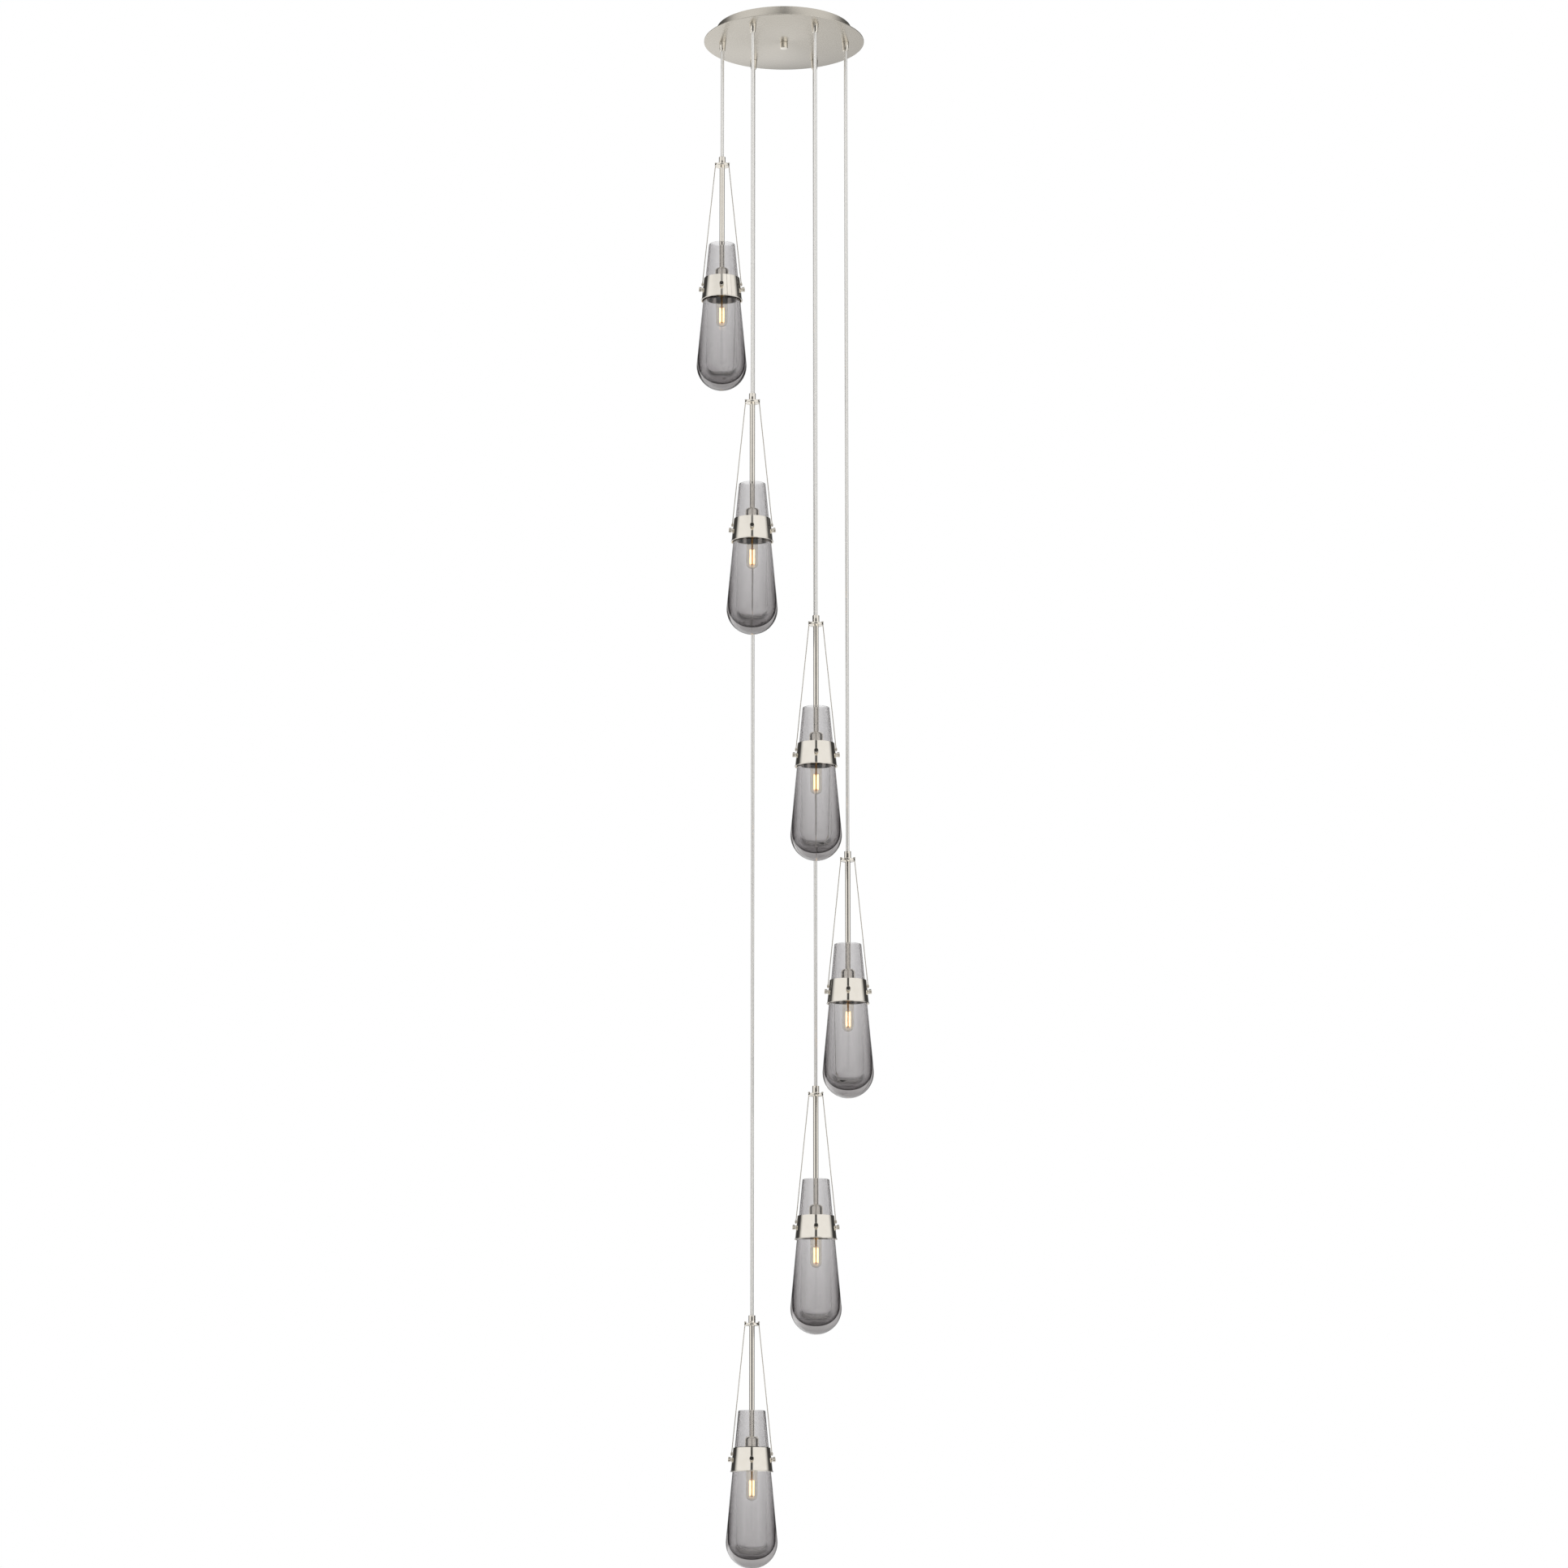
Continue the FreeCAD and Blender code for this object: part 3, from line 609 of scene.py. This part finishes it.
def bulbCapShape():
    s = bulbSetup
    outline = [(0, s["capLow"]), (s["capRadius"], s["capLow"])]
    outline += threadedWall(s["capRadius"], s["capLow"] + s["threadStart"], s["capHigh"] - s["threadEnd"],
                            s["threadPitch"], s["threadDepth"])
    outline += [(s["capRadius"] - s["capInset"], s["capHigh"] - s["tipHeight"]), (s["tipRadius"], s["capHigh"]),
                (0, s["capHigh"])]
    return turned(outline, s["capSteps"])


def wireBetween(start, end, radius):
    direction = Vector(end) - Vector(start)
    bm = turned([(0, 0), (radius, 0), (radius, direction.length), (0, direction.length)], bulbSetup["wireSteps"])
    bmesh.ops.transform(bm, matrix=aimedAt(direction.normalized(), start), verts=bm.verts)
    return bm


def bulbPostShape():
    s = bulbSetup
    top = s["capLow"] + s["postGap"]
    outline = [(0, s["postLow"])] + arcPoints(0, s["postLow"] + s["postRadius"], s["postRadius"], -60, 0, 4)
    outline += [(s["postRadius"], s["postHigh"]), (s["capRadius"] - s["wall"] - s["postGap"], top), (0, top)]
    return turned(outline, s["postSteps"])


def bulbWiresShape():
    s = bulbSetup
    bm = bmesh.new()
    top, bottom = s["filamentHigh"] + s["wireLead"], s["filamentLow"] - s["wireLead"]
    addTo(bm, wireBetween((0, 0, bottom - s["spineDrop"]), (0, 0, s["capLow"]), s["spineRadius"]))
    for k in range(s["filaments"]):
        angle = math.radians(s["filamentTurn"] + 360 * k / s["filaments"])
        across = Vector((math.cos(angle), math.sin(angle), 0)) * s["filamentCircle"]
        for near, far in ((s["filamentHigh"], top + s["wireRise"]), (s["filamentLow"], bottom - s["wireDrop"])):
            addTo(bm, wireBetween((0, 0, far), across + Vector((0, 0, near)), s["wireRadius"]))
    for depth in s["collarDepths"]:                         # collars that hold the wires on the post
        low, high = s["capLow"] - depth, s["capLow"] - depth + s["collarHeight"]
        outline = [(0, low), (s["collarRadius"], low), (s["collarRadius"], high), (0, high)]
        addTo(bm, turned(outline, s["collarSteps"]))
    return bm


def filamentsShape():
    s = bulbSetup
    r = s["filamentRadius"]
    outline = arcPoints(0, s["filamentLow"] + r, r, -90, 0, 4) + arcPoints(0, s["filamentHigh"] - r, r, 0, 90, 4)
    outline[0], outline[-1] = (0, outline[0][1]), (0, outline[-1][1])
    bm = turned(outline, s["filamentSteps"])
    bmesh.ops.translate(bm, vec=(s["filamentCircle"], 0, 0), verts=bm.verts)
    return repeatRound(bm, s["filaments"], s["filamentTurn"])


# shade: a cone that runs into a ball, round a narrower cavity, so its wall is thick below. Depths are from the
# underside of the hub
shadeSetup = {
    "rimDepth": 167.0, "rimBore": 22.8, "taper": 0.095, "bulgeRadius": 50.8, "end": 474.6, "rimRound": 1.2,
    "cavityDepth": 300.0, "cavityRadius": 31.0, "cavityCorner": 24.0, "floor": 31.0, "bend": 40.0,
    "casingGap": 0.2, "casingThickness": 1.2, "casingDrop": 0.3,
    "steps": 128, "ballSteps": 28, "cornerSteps": 14, "bendSteps": 8,
}


def cavityOutline(offset, top):
    # from the axis at the bottom of the cavity up to the rim, offset into the glass
    s = shadeSetup
    low = -s["end"] + s["floor"] + s["cavityCorner"]
    outline = arcPoints(s["cavityRadius"] - s["cavityCorner"], low, s["cavityCorner"] + offset, -90, 0,
                        s["cornerSteps"])
    slope = (s["cavityRadius"] - s["rimBore"]) / (s["cavityDepth"] - s["rimDepth"])
    corner = Vector((s["cavityRadius"], -s["cavityDepth"]))
    first = corner - Vector((0, s["bend"]))
    last = corner + Vector((-slope * s["bend"], s["bend"]))
    for k in range(s["bendSteps"] + 1):                     # a long bend in place of a corner
        t = k / s["bendSteps"]
        point = first * (1 - t) ** 2 + corner * 2 * t * (1 - t) + last * t ** 2
        outline.append((point.x + offset, point.y))
    outline.append((s["rimBore"] + offset + slope * (-s["rimDepth"] - top), top))
    return [(0, outline[0][1])] + outline


def shadeShape():
    s = shadeSetup
    middle, angle = -s["end"] + s["bulgeRadius"], math.atan(s["taper"])
    rimRadius = s["bulgeRadius"] / math.cos(angle) - s["taper"] * (-s["rimDepth"] - middle)
    outer = arcPoints(0, middle, s["bulgeRadius"], -90, math.degrees(angle), s["ballSteps"])
    outer.append((rimRadius, -s["rimDepth"]))
    outer[0] = (0, outer[0][1])
    bm = turned(outer + list(reversed(cavityOutline(0, -s["rimDepth"]))), s["steps"])
    return roundEdges(bm, s["rimRound"], 4)


def casingShape():
    s = shadeSetup
    top = -s["rimDepth"] - s["rimRound"] - s["casingDrop"]
    inner = cavityOutline(s["casingGap"], top)
    outer = cavityOutline(s["casingGap"] + s["casingThickness"], top)
    return turned(outer + list(reversed(inner)), s["steps"])


# band: a cone that follows the glass, with a lip at its foot. Drops are from its top
bandSetup = {
    "top": 239.6, "topRadius": 36.6, "taper": 0.105, "height": 47.1, "wall": 1.2, "lipHeight": 2.0,
    "lipWidth": 1.0, "lipRise": 0.5, "edge": 0.35, "steps": 128, "screwDrop": 23.1, "ropeDrop": 11.8,
}


def bandRadius(drop):
    return bandSetup["topRadius"] + bandSetup["taper"] * drop


def bandShape():
    s = bandSetup
    low, lipTop = s["height"], s["height"] - s["lipHeight"]
    lip = bandRadius(low) + s["lipWidth"]
    outline = [(bandRadius(0), -s["top"]), (bandRadius(lipTop), -s["top"] - lipTop),
               (lip, -s["top"] - lipTop - s["lipRise"]), (lip, -s["top"] - low),
               (bandRadius(low) - s["wall"], -s["top"] - low), (bandRadius(0) - s["wall"], -s["top"])]
    return roundEdges(turned(outline, s["steps"]), s["edge"], 3)


# thumbscrews: a smooth shank and collar, and a knurled head whose end is bevelled
thumbSetup = {
    "shank": 2.0, "tip": -11.3, "collar": 3.95, "collarHeight": 3.0, "edge": 0.25, "head": 4.85, "headHeight": 4.8,
    "ridges": 30, "groove": 0.91, "endInset": 0.7, "endHeight": 0.6, "gap": 0.05, "count": 4, "steps": 40,
}


def thumbscrewShape():
    s = thumbSetup
    neck = s["gap"] + s["collarHeight"]
    bm = turned([(0, s["tip"]), (s["shank"], s["tip"]), (s["shank"], s["gap"]), (s["collar"], s["gap"]),
                 (s["collar"], neck), (0, neck)], s["steps"])
    roundEdges(bm, s["edge"], 2)
    head = bmesh.new()
    made = bmesh.ops.create_circle(head, cap_ends=True, radius=s["head"], segments=2 * s["ridges"])
    for vert in made["verts"][::2]:
        vert.co *= s["groove"]
    for rise, inset in ((s["headHeight"] - s["endHeight"], 0.0), (s["endHeight"], s["endInset"])):
        end = max(head.faces, key=lambda f: f.calc_center_median().z)
        raised = bmesh.ops.extrude_face_region(head, geom=[end])["geom"]
        verts = [g for g in raised if isinstance(g, bmesh.types.BMVert)]
        bmesh.ops.translate(head, vec=(0, 0, rise), verts=verts)
        bmesh.ops.scale(head, vec=(1 - inset / s["head"], 1 - inset / s["head"], 1), verts=verts)
    bmesh.ops.delete(head, geom=[end], context="FACES_ONLY")    # the wall the last step grew from
    bmesh.ops.recalc_face_normals(head, faces=head.faces)
    addTo(bm, head, Matrix.Translation((0, 0, neck)))
    angle = math.atan(bandSetup["taper"])
    place = (bandRadius(bandSetup["screwDrop"]), 0, -bandSetup["top"] - bandSetup["screwDrop"])
    bmesh.ops.transform(bm, matrix=aimedAt((math.cos(angle), 0, math.sin(angle)), place), verts=bm.verts)
    return repeatRound(bm, s["count"])


# wire rope: six strands laid round each other, a stop on the hub and a ferrule riveted to the band
ropeSetup = {
    "radius": 0.9, "strands": 6, "groove": 0.17, "layLength": 9.0, "stepsPerLay": 10, "gap": 0.1,
    "stop": 1.9, "stopHeight": 3.0, "stopEdge": 0.35, "ferrule": 1.5, "ferruleLength": 7.0, "ferruleEdge": 0.3,
    "rivet": 0.9, "rivetHead": 1.8, "headBevel": 0.5, "headLow": 1.4, "headHigh": 2.0, "tailHeight": 0.6,
    "count": 2, "steps": 32, "rivetSteps": 24,
}


def ropeEnds():
    s = ropeSetup
    wall = bandRadius(bandSetup["ropeDrop"] + s["ferruleLength"] / 2)
    low = Vector((wall + s["ferrule"] + s["gap"], 0, -bandSetup["top"] - bandSetup["ropeDrop"]))
    notch = Vector((hangerSetup["hubRadius"] - hangerSetup["notchDepth"] / 2 + s["gap"], 0,
                    hangerSetup["hubThickness"] / 2))
    along = (notch - low).normalized()
    return low, along, (hangerSetup["hubThickness"] + s["gap"] - low.z) / along.z


def ropesShape():
    s = ropeSetup
    low, along, hubTop = ropeEnds()
    length = hubTop + s["stopHeight"] / 2
    bm = bmesh.new()
    points = 4 * s["strands"]
    ring = []
    for k in range(points):                                 # outline of the laid strands
        a = 2 * math.pi * k / points
        r = s["radius"] * (1 - s["groove"] + s["groove"] * abs(math.cos(s["strands"] * a / 2)))
        ring.append(bm.verts.new((r * math.cos(a), r * math.sin(a), 0)))
    edges = [bm.edges.new(pair) for pair in zip(ring, ring[1:] + ring[:1])]
    steps = int(length / s["layLength"] * s["stepsPerLay"])
    bmesh.ops.spin(bm, geom=ring + edges, cent=(0, 0, 0), axis=(0, 0, 1), dvec=(0, 0, length / steps),
                   angle=2 * math.pi * length / s["layLength"], steps=steps)
    bmesh.ops.holes_fill(bm, edges=[e for e in bm.edges if e.is_boundary])
    bmesh.ops.recalc_face_normals(bm, faces=bm.faces)

    stopLow, stopHigh = hubTop + s["stop"] * abs(along.x), hubTop + s["stopHeight"]
    stop = turned([(0, stopLow), (s["stop"], stopLow), (s["stop"], stopHigh), (0, stopHigh)], s["steps"])
    addTo(bm, roundEdges(stop, s["stopEdge"], 3))
    half = s["ferruleLength"] / 2
    ferrule = turned([(0, -half), (s["ferrule"], -half), (s["ferrule"], half), (0, half)], s["steps"])
    addTo(bm, roundEdges(ferrule, s["ferruleEdge"], 3))
    bmesh.ops.transform(bm, matrix=aimedAt(along, low), verts=bm.verts)

    near = low.x - bandRadius(bandSetup["ropeDrop"]) + 2 * bandSetup["wall"]
    tail = near + s["tailHeight"]
    rivet = turned([(0, -s["headHigh"]), (s["rivetHead"] - s["headBevel"], -s["headHigh"]),
                    (s["rivetHead"], -s["headHigh"] + s["headBevel"]), (s["rivet"], -s["headLow"]),
                    (s["rivet"], near), (s["rivetHead"], near), (s["rivetHead"], tail), (0, tail)],
                   s["rivetSteps"])
    addTo(bm, rivet, aimedAt((-1, 0, 0), low))
    return repeatRound(bm, s["count"])


def makePendants(polished):
    rope, brass, phenolic = makePlain("stainless rope wire"), makePlain("brass"), makePlain("black phenolic")
    glass, casing = makeGlass("heavy blown glass", glassSetup), makeSmokeCasing()
    lampGlass, filament = makeGlass("clear lamp glass", lampGlassSetup), makeFilament()
    pieces = [
        ("coupler", "hanger", "polished_nickel", polished, couplerShape),
        ("hub", "hanger", "polished_nickel", polished, hubShape),
        ("stem", "hanger", "polished_nickel", polished, stemShape),
        ("socket_cup", "hanger", "polished_nickel", polished, cupShape),
        ("insulator", "lampholder", "black_phenolic", phenolic, insulatorShape),
        ("screw_shell", "lampholder", "black_phenolic", brass, shellShape),
        ("bulb_glass", "bulb", "clear_bulb_glass", lampGlass, bulbGlassShape),
        ("bulb_cap", "bulb", "clear_bulb_glass", brass, bulbCapShape),
        ("bulb_post", "bulb", "clear_bulb_glass", brass, bulbPostShape),
        ("bulb_wires", "bulb", "clear_bulb_glass", brass, bulbWiresShape),
        ("filaments", "bulb", "clear_bulb_glass", filament, filamentsShape),
        ("glass", "shade", "smoke_glass", glass, shadeShape),
        ("smoke_casing", "shade", "smoke_glass", casing, casingShape),
        ("glass_band", "band", "satin_nickel", polished, bandShape),
        ("knurled_screws", "thumbscrews", "polished_nickel", polished, thumbscrewShape),
        ("wire_ropes", "ropes", "wire_rope", rope, ropesShape),
    ]
    for number in pendantNumbers:
        for name, node, slot, material, shape in pieces:
            makePiece(shape(), "%s_%d" % (name, number), "pendant_%d" % number, "%s_%d" % (node, number),
                      material, hangsAt(number))
        print("pendant", number, "made")


def dressHardware():
    zinc, green = makePlain("bright zinc plate"), makePlain("green ground screw finish")
    for node in ("mounting_strap", "threaded_nipple", "nipple_locknut", "grip_nuts", "ground_screw"):
        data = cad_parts[node].data
        data.materials.clear()
        data.materials.append(green if node == "ground_screw" else zinc)


# studio: a white room for the eye, and pale panels with dark gaps for what the metal mirrors. Each ramp is a
# list of (place, level). Azimuth runs from 0 in front to 1 behind, height from 0 below to 1 overhead
studioSetup = {
    "mirrorAzimuth": [(0.0, 0.03), (0.03, 0.03), (0.045, 1.0), (0.5, 1.0), (0.57, 0.6), (0.64, 0.05),
                      (0.84, 0.05), (0.9, 0.3), (1.0, 0.3)],
    "mirrorHeight": [(0.0, 1.0), (0.42, 1.0), (0.48, 0.0), (0.8, 0.0), (0.93, 1.0)],
    "stripAzimuth": [(0.0, 0.16), (0.14, 0.16), (0.19, 1.0), (1.0, 1.0)],
    "stripHeight": [(0.0, 0.0), (0.42, 0.0), (0.46, 1.0), (0.62, 1.0), (0.645, 0.0), (1.0, 0.0)],
    "mirrorPlain": 0.92, "mirrorFans": -1.5,
    "clearAzimuth": [(0.0, 0.5), (0.025, 0.5), (0.035, 1.0), (0.34, 1.0), (0.42, 0.06), (0.59, 0.06),
                     (0.64, 1.05), (1.0, 1.05)],
    "clearHeight": [(0.0, 0.1), (0.16, 0.15), (0.34, 1.0), (0.76, 1.0), (0.88, 0.7), (1.0, 0.6)],
    "softAzimuth": [(0.0, 1.5), (0.25, 1.3), (0.5, 0.5), (1.0, 0.35)],
}


def addRamp(tree, levels, source):
    highest = max(level for place, level in levels)
    node = addNode(tree, "ValToRGB", {}, {0: (source, 0)})
    ramp = node.color_ramp
    while len(ramp.elements) < len(levels):
        ramp.elements.new(1.0)
    for element, (place, level) in zip(ramp.elements, levels):
        element.position = place
        element.color = (level / highest, level / highest, level / highest, 1)
    return addNode(tree, "Math", {"operation": "MULTIPLY", 1: highest}, {0: (node, 0)})


def makeWorld():
    s = studioSetup
    world = bpy.data.worlds.new("studio")
    world.use_nodes = True
    scene.world = world
    tree = world.node_tree
    tree.nodes.clear()
    coords = addNode(tree, "TexCoord")
    axes = addNode(tree, "SeparateXYZ", {}, {0: (coords, "Generated")})
    front = addNode(tree, "Math", {"operation": "MULTIPLY", 1: -1.0}, {0: (axes, 1)})
    turn = addNode(tree, "Math", {"operation": "ARCTAN2"}, {0: (axes, 0), 1: (front, 0)})
    size = addNode(tree, "Math", {"operation": "ABSOLUTE"}, {0: (turn, 0)})
    azimuth = addNode(tree, "Math", {"operation": "DIVIDE", 1: math.pi}, {0: (size, 0)})
    height = addNode(tree, "Math", {"operation": "MULTIPLY_ADD", 1: 0.5, 2: 0.5}, {0: (axes, 2)})
    panels = addRamp(tree, s["mirrorAzimuth"], azimuth)
    plain = addRamp(tree, s["mirrorHeight"], height)
    # a broad dim strip in front, low down, gives the straight stems and the grips their darker middle
    strip, low = addRamp(tree, s["stripAzimuth"], azimuth), addRamp(tree, s["stripHeight"], height)
    strip = addNode(tree, "Mix", {2: 1.0}, {0: (low, 0), 3: (strip, 0)})
    panels = addNode(tree, "Math", {"operation": "MULTIPLY"}, {0: (panels, 0), 1: (strip, 0)})
    # overhead and underfoot it is plain, with two opposite fans that the brushed plate draws out
    diagonal = addNode(tree, "Math", {"operation": "MULTIPLY"}, {0: (axes, 0), 1: (axes, 1)})
    fans = addNode(tree, "Math", {"operation": "MULTIPLY_ADD", 1: s["mirrorFans"], 2: s["mirrorPlain"]},
                   {0: (diagonal, 0)})
    mirror = addNode(tree, "Mix", {}, {0: (plain, 0), 2: (panels, 0), 3: (fans, 0)})
    clearRound, clearUp = addRamp(tree, s["clearAzimuth"], azimuth), addRamp(tree, s["clearHeight"], height)
    clear = addNode(tree, "Math", {"operation": "MULTIPLY"}, {0: (clearRound, 0), 1: (clearUp, 0)})
    soft = addRamp(tree, s["softAzimuth"], azimuth)
    path = addNode(tree, "LightPath")
    level = addNode(tree, "Mix", {}, {0: (path, "Is Glossy Ray"), 2: (soft, 0), 3: (mirror, 0)})
    level = addNode(tree, "Mix", {}, {0: (path, "Is Transmission Ray"), 2: (level, 0), 3: (clear, 0)})
    level = addNode(tree, "Mix", {3: 1.0}, {0: (path, "Is Camera Ray"), 2: (level, 0)})
    shade = addNode(tree, "Background", {"Strength": 1.0}, {"Color": (level, 0)})
    addNode(tree, "OutputWorld", {}, {"Surface": (shade, 0)})


# floor: pale paint that fades out away from the middle. Heights and distances are in metres
floorSetup = {
    "height": -6.0, "half": 7.0, "colour": "#ecebe8", "fadeStart": 3.0, "fadeEnd": 6.5,
    "cloudScale": 0.6, "cloudDetail": 3.0, "roughness": 0.775, "smoother": 0.075, "rougher": 0.075,
}


def makeFloor():
    s = floorSetup
    bm = bmesh.new()
    bmesh.ops.create_grid(bm, x_segments=1, y_segments=1, size=s["half"])
    bmesh.ops.translate(bm, vec=(0, 0, s["height"]), verts=bm.verts)
    mesh = bpy.data.meshes.new("floor")
    bm.to_mesh(mesh)
    bm.free()
    material, tree = newMaterial("pale painted floor")
    coords = addNode(tree, "TexCoord")
    cloud = addNode(tree, "TexNoise", {"Scale": s["cloudScale"], "Detail": s["cloudDetail"]},
                    {"Vector": (coords, "Object")})
    paint = addNode(tree, "BsdfPrincipled", {"Base Color": linearColour(s["colour"])},
                    {"Roughness": (varyRoughness(tree, s, cloud), 0)})
    flat = addNode(tree, "Mapping", {"Scale": (1, 1, 0)}, {"Vector": (coords, "Object")})
    away = addNode(tree, "VectorMath", {"operation": "LENGTH"}, {0: (flat, 0)})
    fade = addNode(tree, "MapRange", {"From Min": s["fadeStart"], "From Max": s["fadeEnd"]},
                   {"Value": (away, "Value")})
    clear = addNode(tree, "BsdfTransparent")
    addOutput(tree, addNode(tree, "MixShader", {}, {0: (fade, 0), 1: (paint, 0), 2: (clear, 0)}))
    mesh.materials.append(material)
    floor = bpy.data.objects.new("floor", mesh)
    scene.collection.objects.link(floor)


makeCamera()
makeCords()
satinNickel = makeSatinNickel()
polishedNickel = makePolishedNickel()
makeCanopy(satinNickel, polishedNickel)
makeGrips(polishedNickel)
makeCores()
makePendants(polishedNickel)
dressHardware()
makeWorld()
makeFloor()
scene.view_settings.view_transform = "Standard"
